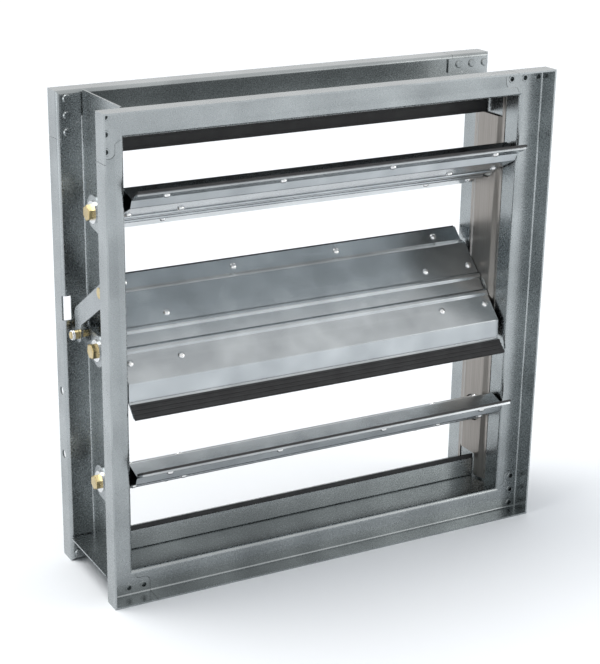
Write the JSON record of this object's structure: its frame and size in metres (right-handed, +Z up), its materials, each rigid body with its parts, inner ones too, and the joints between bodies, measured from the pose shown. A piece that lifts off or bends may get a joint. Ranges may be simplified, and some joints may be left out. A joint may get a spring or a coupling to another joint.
{
  "type": "volume control damper",
  "caption": "Square galvanised duct damper: hat-channel frame with opposed double-skin blades on hexagonal axles, turned together by cranks and links in a side channel.",
  "frame": {"origin": "bottom centre of the frame, midway between front and rear brims", "axes": "+X to the right seen from the front, +Y towards the rear face, +Z up"},
  "size_m": [0.4508, 0.1302, 0.4508],
  "materials": {
    "galvanised": "galvanised, fine spangle, semi-bright",
    "bright_steel": "bright zinc plated",
    "yellow_zinc": "yellow zinc plated steel",
    "spring_steel": "thin stainless spring strip",
    "bearing_polymer": "pale moulded polymer",
    "seal_rubber": "matt black ribbed rubber"
  },
  "bodies": {
    "frame": {"corner_clinches_front": "galvanised", "corner_clinches_rear": "galvanised", "head_channel": "galvanised", "head_stop": "galvanised", "head_stop_seal": "seal_rubber", "left_bearings": "bearing_polymer", "left_jamb": "galvanised", "left_jamb_seal": "spring_steel", "right_bearings": "bearing_polymer", "right_jamb": "galvanised", "right_jamb_seal": "spring_steel", "sill_channel": "galvanised", "sill_stop": "galvanised", "sill_stop_seal": "seal_rubber"},
    "top_blade": {"top_axle_saddles": "galvanised", "top_axle_washer": "bright_steel", "top_back_skin": "galvanised", "top_crank": "galvanised", "top_crank_pin": "yellow_zinc", "top_drive_axle": "yellow_zinc", "top_front_skin": "galvanised", "top_idle_axle": "yellow_zinc", "top_lower_seal": "seal_rubber", "top_rivets": "bright_steel", "top_upper_seal": "seal_rubber"},
    "middle_blade": {"middle_axle_saddles": "galvanised", "middle_axle_washer": "bright_steel", "middle_back_skin": "galvanised", "middle_crank": "galvanised", "middle_crank_pin": "yellow_zinc", "middle_drive_axle": "yellow_zinc", "middle_front_skin": "galvanised", "middle_idle_axle": "yellow_zinc", "middle_lower_seal": "seal_rubber", "middle_pin_ring": "bright_steel", "middle_rivets": "bright_steel", "middle_upper_seal": "seal_rubber"},
    "bottom_blade": {"bottom_axle_saddles": "galvanised", "bottom_axle_washer": "bright_steel", "bottom_back_skin": "galvanised", "bottom_crank": "galvanised", "bottom_crank_pin": "yellow_zinc", "bottom_drive_axle": "yellow_zinc", "bottom_front_skin": "galvanised", "bottom_idle_axle": "yellow_zinc", "bottom_lower_seal": "seal_rubber", "bottom_rivets": "bright_steel", "bottom_upper_seal": "seal_rubber"},
    "tie_link": {"link_pin": "yellow_zinc", "tie_bar": "galvanised"},
    "dog_leg_link": {"cross_link": "galvanised"}
  },
  "joints": [
    {"name": "drive_turn", "type": "hinge", "parent": "frame", "child": "top_blade", "pos_m": [0, 0, 0.3524], "axis": [-1, 0, 0], "range_deg": [0, 63.5]},
    {"name": "bottom_turn", "type": "hinge", "parent": "frame", "child": "bottom_blade", "pos_m": [0, 0, 0.0984], "axis": [-1, 0, 0], "range_deg": [0, 63.5]},
    {"name": "middle_turn", "type": "hinge", "parent": "frame", "child": "middle_blade", "pos_m": [0, 0, 0.2254], "axis": [1, 0, 0], "range_deg": [0, 45]},
    {"name": "tie_pivot", "type": "hinge", "parent": "top_blade", "child": "tie_link", "pos_m": [-0.2122, -0.03007, 0.34146], "axis": [1, 0, 0], "range_deg": [0, 63.5]},
    {"name": "link_pivot", "type": "hinge", "parent": "middle_blade", "child": "dog_leg_link", "pos_m": [-0.2163, 0.02911, 0.23266], "axis": [-1, 0, 0], "range_deg": [0, 63.56]}
  ],
  "couplings": [
    {"joint": "bottom_turn", "follows": "drive_turn", "ratio": 1},
    {"joint": "middle_turn", "follows": "drive_turn", "ratio": 0.7086},
    {"joint": "tie_pivot", "follows": "drive_turn", "ratio": 1},
    {"joint": "link_pivot", "follows": "drive_turn", "ratio": 1.0007}
  ]
}
